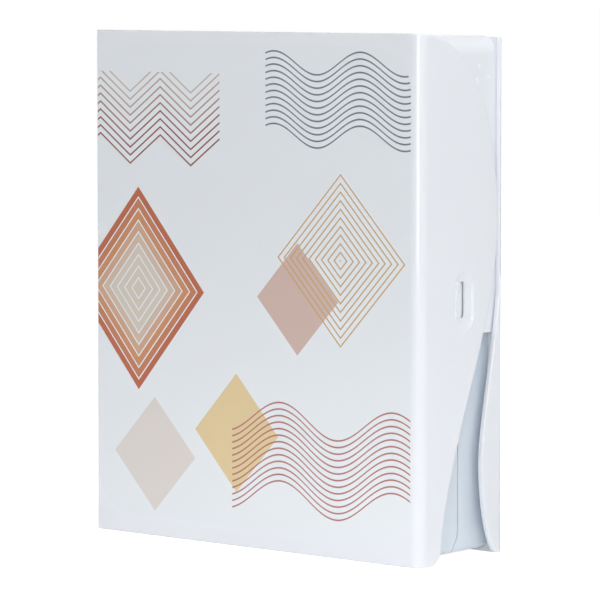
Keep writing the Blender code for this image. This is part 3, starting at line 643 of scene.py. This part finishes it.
def combine(base, tool, operation):
    """Boolean of two closed meshes; the tool is used up."""
    first = bpy.data.objects.new("base", base)
    second = bpy.data.objects.new("tool", tool)
    for item in (first, second):
        bpy.context.scene.collection.objects.link(item)
    modifier = first.modifiers.new("boolean", "BOOLEAN")
    modifier.operation = operation
    modifier.solver = "MANIFOLD"
    modifier.object = second
    graph = bpy.context.evaluated_depsgraph_get()
    result = bpy.data.meshes.new_from_object(first.evaluated_get(graph))
    bpy.data.objects.remove(first, do_unlink=True)
    bpy.data.objects.remove(second, do_unlink=True)
    return result


def join(base, *tools):
    for tool in tools:
        base = combine(base, tool, "UNION")
    return base


def cut(base, *tools):
    for tool in tools:
        base = combine(base, tool, "DIFFERENCE")
    return base


def folded_sheet(outline, wall, radius, facing, bend=None):
    """A flat outline of lengths and heights, folded round the case's corner, with rounded edges."""
    bm = bmesh.new()
    bm.faces.new([bm.verts.new((length, 0, height)) for length, height in outline])
    straight = CASE_WIDTH - radius
    quarter = radius * math.pi / 2
    folds = [straight + quarter * index / CORNER_STEPS for index in range(CORNER_STEPS + 1)]
    if bend:
        bend_length = CASE_DEPTH - FLAP_BEND_START
        start = depth_to_length(FLAP_BEND_START, radius)
        folds.extend(start + bend_length * index / CORNER_STEPS for index in range(CORNER_STEPS))
    for fold in folds:
        geometry = bm.verts[:] + bm.edges[:] + bm.faces[:]
        bmesh.ops.bisect_plane(bm, geom=geometry, plane_co=(fold, 0, 0), plane_no=(1, 0, 0))
    inner = {}
    outer_faces = list(bm.faces)
    rim = [edge for edge in bm.edges if edge.is_boundary]
    for vertex in list(bm.verts):
        x, y = wrap(vertex.co.x, wall, radius, facing)
        inner[vertex] = bm.verts.new((x, y, vertex.co.z))
    for vertex in inner:
        vertex.co.x, vertex.co.y = wrap(vertex.co.x, 0, radius, facing)
    for face in outer_faces:
        bm.faces.new([inner[vertex] for vertex in reversed(face.verts)])
    for edge in rim:
        first, second = edge.verts
        bm.faces.new((first, second, inner[second], inner[first]))
    if bend:
        for vertex in bm.verts:
            vertex.co.x -= bend(vertex.co.y - FRONT_Y)
    bmesh.ops.recalc_face_normals(bm, faces=bm.faces)
    bmesh.ops.bevel(
        bm, geom=rim, offset=COVER_EDGE_ROUND, segments=EDGE_STEPS, profile=0.5, affect="EDGES"
    )
    return finish_mesh(bm, "sheet")


def smooth_piece(piece):
    """Smooth shading that keeps flats flat and hard edges hard."""
    piece.data.shade_smooth()
    piece.data.set_sharp_from_angle(angle=SHARP_ANGLE)
    modifier = piece.modifiers.new("weighted_normals", "WEIGHTED_NORMAL")
    modifier.keep_sharp = True
    return piece


def obround(centre, width, length):
    """An upright slot outline in (y, z)."""
    radius = width / 2
    high = (centre[0], centre[1] + length / 2 - radius)
    low = (centre[0], centre[1] - length / 2 + radius)
    points = arc(high, radius, 0, math.pi, 2 * ARC_STEPS)
    points.extend(arc(low, radius, math.pi, 2 * math.pi, 2 * ARC_STEPS))
    return points


def recess_cutter(centre):
    """A thumb recess whose two round ends slope down to a flat floor, with an eased lip."""
    bm = bmesh.new()
    outer = obround(centre, RECESS_WIDTH, RECESS_LENGTH)
    lip = obround(centre, RECESS_WIDTH + RECESS_LIP, RECESS_LENGTH + RECESS_LIP)
    floor_half = RECESS_LENGTH / 2 - RECESS_SLOPE
    inner = []
    for y, z in outer:
        rise = max(-floor_half, min(floor_half, z - centre[1]))
        inner.append((centre[0] + (y - centre[0]) * RECESS_FLOOR_share, centre[1] + rise))
    levels = (
        (RIGHT_X - RECESS_SINK, inner),
        (RIGHT_X - RECESS_LIP / 2, outer),
        (RIGHT_X, lip),
        (RIGHT_X + OVERRUN, lip),
    )
    rings = [[bm.verts.new((x, *point)) for point in points] for x, points in levels]
    bm.faces.new(rings[0])
    bm.faces.new(list(reversed(rings[-1])))
    count = len(outer)
    for lower, upper in zip(rings, rings[1:]):
        for index in range(count):
            after = (index + 1) % count
            bm.faces.new((lower[after], lower[index], upper[index], upper[after]))
    return finish_mesh(bm, "recess")


def pegs(tray, face_y, inward):
    """Pegs on a cover's inner face that fill the holes of its tray's floor."""
    low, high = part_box(tray)
    width_places = (tray_left + PEG_EDGE_DISTANCE, tray_right - PEG_EDGE_DISTANCE)
    spacing = (high.z - low.z - 2 * PEG_EDGE_DISTANCE) / (PEG_ROWS - 1)
    tip = face_y + inward * (MESH_GAP + TRAY_FLOOR)
    root = face_y - inward * FRONT_WALL / 2
    made = []
    for x in width_places:
        for row in range(PEG_ROWS):
            z = low.z + PEG_EDGE_DISTANCE + spacing * row
            outline = arc((x, z), PEG_RADIUS, 0, 2 * math.pi, ROUND_SIDES)[:-1]
            made.append(prism(outline, "Y", min(tip, root), max(tip, root)))
    return made


# The trays' side walls lie just past the day boxes' ends
tray_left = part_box("monday_box")[0].x - DAY_END_CLEARANCE - TRAY_WALL
tray_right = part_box("monday_box")[1].x + DAY_END_CLEARANCE + TRAY_WALL


def front_cover():
    points = [(0, 0), (0, CASE_HEIGHT), (CASE_WIDTH - FRONT_CORNER_RADIUS, CASE_HEIGHT)]
    edge = [depth_and_height(FRONT_FLAP_shares[0])[0]]
    for shares in FRONT_FLAP_shares:
        edge.extend(bezier(depth_and_height(shares)))
    points.extend((depth_to_length(depth, FRONT_CORNER_RADIUS), height) for depth, height in edge)
    mesh = folded_sheet(points, FRONT_WALL, FRONT_CORNER_RADIUS, -1, flap_bend)
    centre = (FRONT_Y + RECESS_DEPTH_PLACE, RECESS_HEIGHT_PLACE)
    slot_outline = obround((centre[0], SLOT_HEIGHT_PLACE), SLOT_WIDTH, SLOT_LENGTH)
    slot = prism(slot_outline, "X", RIGHT_X - FRONT_WALL - OVERRUN, RIGHT_X + OVERRUN)
    mesh = cut(mesh, recess_cutter(centre), slot)
    rib_y = centre[0] - SLOT_WIDTH / 2 - RIB_WIDTH
    floor_x = RIGHT_X - RECESS_SINK
    rib_low = (floor_x - (FRONT_WALL - RECESS_SINK) / 2, rib_y, SLOT_HEIGHT_PLACE - SLOT_LENGTH / 2)
    rib_high = (floor_x + RIB_RISE, rib_y + RIB_WIDTH, SLOT_HEIGHT_PLACE + SLOT_LENGTH / 2)
    mesh = join(mesh, block(rib_low, rib_high), *pegs("front_tray", FRONT_Y + FRONT_WALL, 1))
    return mesh


def hood_outline():
    """The rear wall's line in (x, z): over the top, round the corner and down the side to its foot."""
    top = CASE_HEIGHT - HOOD_TOP_INSET
    side = RIGHT_X - HOOD_INSET
    centre = (side - HOOD_CORNER_RADIUS, top - HOOD_CORNER_RADIUS)
    points = [(tray_left, top)]
    points.extend(arc(centre, HOOD_CORNER_RADIUS, math.pi / 2, 0, 2 * ARC_STEPS))
    points.append((side, HOOD_LOW_HEIGHT))
    points.append((side - HOOD_WALL, HOOD_LOW_HEIGHT))
    points.extend(arc(centre, HOOD_CORNER_RADIUS - HOOD_WALL, 0, math.pi / 2, 2 * ARC_STEPS))
    points.append((tray_left, top - HOOD_WALL))
    return points


def hood_end_cutter():
    """Rounds the foot of the hood's side wall where it ends above the open gap."""
    front = FRONT_Y + HOOD_FRONT_DEPTH
    foot = HOOD_LOW_HEIGHT
    centre = (front + HOOD_FOOT_RADIUS, foot + HOOD_FOOT_RADIUS)
    points = arc(centre, HOOD_FOOT_RADIUS, math.pi, 1.5 * math.pi, ARC_STEPS)
    points.append((front + HOOD_FOOT_RADIUS, foot - OVERRUN))
    points.append((front - OVERRUN, foot - OVERRUN))
    points.append((front - OVERRUN, foot + HOOD_FOOT_RADIUS))
    side = RIGHT_X - HOOD_INSET
    return prism(points, "X", side - HOOD_WALL - MESH_GAP, side + MESH_GAP)


def tab_window():
    """The opening in the hood that the release tab fills."""
    centre_y = FRONT_Y + RECESS_DEPTH_PLACE
    side = RIGHT_X - HOOD_INSET
    half_width = TAB_WINDOW_WIDTH / 2
    half_length = TAB_WINDOW_LENGTH / 2
    low = (side - HOOD_WALL - OVERRUN / 2, centre_y - half_width, RECESS_HEIGHT_PLACE - half_length)
    high = (side + OVERRUN / 2, centre_y + half_width, RECESS_HEIGHT_PLACE + half_length)
    return block(low, high)


def rear_cover():
    top = CASE_HEIGHT - REAR_TOP_DROP
    points = [(0, top), (0, 0), (CASE_WIDTH - REAR_CORNER_RADIUS, 0)]
    for shares in REAR_FLAP_shares:
        for depth, height in bezier(depth_and_height(shares)):
            points.append((depth_to_length(CASE_DEPTH - depth, REAR_CORNER_RADIUS), height))
    rim_depth = CASE_DEPTH * (1 - RIM_DEPTH_share)
    points.append((depth_to_length(rim_depth, REAR_CORNER_RADIUS), top))
    mesh = folded_sheet(points, REAR_FLAP_WALL, REAR_CORNER_RADIUS, 1)
    inner_face = REAR_Y - REAR_WALL
    backing_low = (LEFT_X + REAR_WALL, inner_face, REAR_WALL)
    backing_high = (RIGHT_X - HOOD_INSET - HOOD_WALL / 2, REAR_Y - REAR_FLAP_WALL / 2, top - REAR_WALL)
    hood = prism(hood_outline(), "Y", FRONT_Y + HOOD_FRONT_DEPTH, REAR_Y - REAR_FLAP_WALL / 2)
    hood = cut(hood, hood_end_cutter(), tab_window())
    return join(mesh, block(backing_low, backing_high), hood, *pegs("rear_tray", inner_face, -1))


def eased_copy(node, ease, material, body):
    """A CAD node's shape with its long sharp edges rounded."""
    bm = bmesh.new()
    bm.from_mesh(frame["nodes"][node].data)
    bmesh.ops.remove_doubles(bm, verts=bm.verts, dist=ease / 100)
    bmesh.ops.dissolve_limit(bm, angle_limit=FLAT_ANGLE, verts=bm.verts, edges=bm.edges)
    hard = []
    for edge in bm.edges:
        if len(edge.link_faces) == 2 and edge.calc_face_angle() > EASED_ANGLE:
            if edge.calc_length() > SHORTEST_EASED_EDGE * ease:
                hard.append(edge)
    bmesh.ops.bevel(bm, geom=hard, offset=ease, segments=2, profile=0.5, affect="EDGES", clamp_overlap=True)
    piece = add_piece(node + "_eased", finish_mesh(bm, node + "_eased"), material)
    smooth_piece(piece)
    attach(piece, body)
    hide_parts(node)
    return piece


def dress(name, mesh, material, body, node):
    piece = smooth_piece(add_piece(name, mesh, material))
    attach(piece, body)
    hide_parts(node)
    return piece


def dress_case():
    white = case_plastic()
    pearl = tray_plastic()
    dress("front_cover_shell", front_cover(), printed_front(), "front_case", "front_cover")
    dress("rear_cover_shell", rear_cover(), white, "rear_case", "rear_cover")
    eased_copy("front_tray", TRAY_EASE, pearl, "front_case")
    eased_copy("rear_tray", TRAY_EASE, pearl, "rear_case")
    eased_copy("release_tab", BOX_EASE, white, "release")
    eased_copy("schedule_card", CARD_EASE, card_paper(), "front_case")
    eased_copy("hinge_pin", BOX_EASE, pin_steel(), "rear_case")


def dress_boxes():
    box_material = box_plastic()
    lid_material = lid_plastic()
    for body, nodes in frame["record"]["behaviour"]["bodies"].items():
        for node in nodes:
            if node.endswith("_box"):
                eased_copy(node, BOX_EASE, box_material, body)
            if node.endswith("_lid"):
                eased_copy(node, LID_EASE, lid_material, body)


# Studio
FLOOR_SIZE = 60.0
FLOOR_DROP = 0.0001
WORLD_STRENGTH = 0.08
FLOOR_COLOR = (0.92, 0.92, 0.92, 1.0)
FLOOR_ROUGHNESS = 0.9
FLOOR_GLOW = 1.62
FLOOR_GLOW_share = 0.6


def see_white(tree):
    """Camera, mirror and glass rays meet plain white; light on the object comes from the other shader."""
    rays = tree.nodes.new("ShaderNodeLightPath")
    seen = tree.nodes.new("ShaderNodeMath")
    seen.operation = "MAXIMUM"
    either = tree.nodes.new("ShaderNodeMath")
    either.operation = "MAXIMUM"
    tree.links.new(rays.outputs["Is Camera Ray"], seen.inputs[0])
    tree.links.new(rays.outputs["Is Transmission Ray"], seen.inputs[1])
    tree.links.new(seen.outputs[0], either.inputs[0])
    tree.links.new(rays.outputs["Is Glossy Ray"], either.inputs[1])
    return either.outputs[0]


def make_world():
    world = bpy.data.worlds.new("studio")
    bpy.context.scene.world = world
    world.use_nodes = True
    tree = world.node_tree
    background = tree.nodes["Background"]
    background.inputs["Color"].default_value = (1.0, 1.0, 1.0, 1.0)
    background.inputs["Strength"].default_value = WORLD_STRENGTH
    white = tree.nodes.new("ShaderNodeBackground")
    white.inputs["Color"].default_value = (1.0, 1.0, 1.0, 1.0)
    white.inputs["Strength"].default_value = 1.0
    mixer = tree.nodes.new("ShaderNodeMixShader")
    tree.links.new(see_white(tree), mixer.inputs[0])
    tree.links.new(background.outputs[0], mixer.inputs[1])
    tree.links.new(white.outputs[0], mixer.inputs[2])
    tree.links.new(mixer.outputs[0], tree.nodes["World Output"].inputs["Surface"])


def make_floor():
    """A pale floor that the camera sees as white, with the case's soft shadow kept."""
    bm = bmesh.new()
    bmesh.ops.create_grid(bm, x_segments=1, y_segments=1, size=FLOOR_SIZE / 2)
    mesh = bpy.data.meshes.new("floor")
    bm.to_mesh(mesh)
    bm.free()
    material = material_tree("floor")
    tree = material.node_tree
    shader = tree.nodes["Principled BSDF"]
    shader.inputs["Base Color"].default_value = FLOOR_COLOR
    shader.inputs["Roughness"].default_value = FLOOR_ROUGHNESS
    shader.inputs["Specular IOR Level"].default_value = 0.0
    glow = tree.nodes.new("ShaderNodeEmission")
    glow.inputs["Strength"].default_value = FLOOR_GLOW
    mixer = tree.nodes.new("ShaderNodeMixShader")
    share = tree.nodes.new("ShaderNodeMath")
    share.operation = "MULTIPLY"
    share.inputs[1].default_value = FLOOR_GLOW_share
    tree.links.new(see_white(tree), share.inputs[0])
    tree.links.new(share.outputs[0], mixer.inputs[0])
    tree.links.new(shader.outputs[0], mixer.inputs[1])
    tree.links.new(glow.outputs[0], mixer.inputs[2])
    tree.links.new(mixer.outputs[0], tree.nodes["Material Output"].inputs["Surface"])
    floor = add_piece("floor", mesh, material)
    floor.location.z = -FLOOR_DROP


# Lamps nearer than this stand for light off white cards, so gloss doesn't mirror them
NEAR_LAMP_REACH = 0.30


def add_lamp(name, place, target, size, power):
    data = bpy.data.lights.new(name, "AREA")
    data.shape = "RECTANGLE"
    data.size, data.size_y = size
    data.energy = power
    lamp = bpy.data.objects.new(name, data)
    bpy.context.scene.collection.objects.link(lamp)
    lamp.location = place
    direction = lamp.location - type(lamp.location)(target)
    lamp.rotation_euler = direction.to_track_quat("Z", "Y").to_euler()
    lamp.visible_camera = False
    lamp.visible_glossy = lamp.location.length > NEAR_LAMP_REACH
    return lamp


# Each lamp: name, place, what it points at, width and height, power in watts
LAMPS = (
    ("high_right", (0.45, 0.00, 1.10), (0.05, 0.0, 0.09), (0.8, 0.8), 7.4),
    ("camera_side", (0.86, -1.06, 0.25), (0.03, 0.0, 0.08), (0.5, 0.5), 4.4),
    ("front_left", (-0.75, -0.70, 0.55), (0.0, 0.0, 0.09), (0.6, 0.6), 2.6),
    ("side", (1.10, -0.45, 0.45), (0.05, 0.0, 0.08), (0.8, 0.6), 2.5),
    ("low_side", (0.17, -0.06, 0.004), (0.07, 0.0, 0.020), (0.30, 0.008), 0.010),
    ("low_front", (0.0, -0.10, 0.004), (0.0, 0.0, 0.004), (0.40, 0.008), 0.022),
)


def make_camera():
    data = bpy.data.cameras.new("camera")
    data.sensor_width = SENSOR_WIDTH
    data.lens = FOCAL_PIXELS / FRAME_PIXELS * SENSOR_WIDTH
    data.shift_y = FRAME_SHIFT_PIXELS / FRAME_PIXELS
    data.clip_end = 2 * FLOOR_SIZE
    camera = bpy.data.objects.new("camera", data)
    bpy.context.scene.collection.objects.link(camera)
    camera.location = CAMERA_PLACE
    camera.rotation_euler = (math.pi / 2 - CAMERA_TILT, 0.0, CAMERA_TURN)
    bpy.context.scene.camera = camera


make_camera()
make_world()
make_floor()
for lamp in LAMPS:
    add_lamp(*lamp)
bpy.context.scene.view_settings.view_transform = "Standard"
dress_case()
dress_boxes()
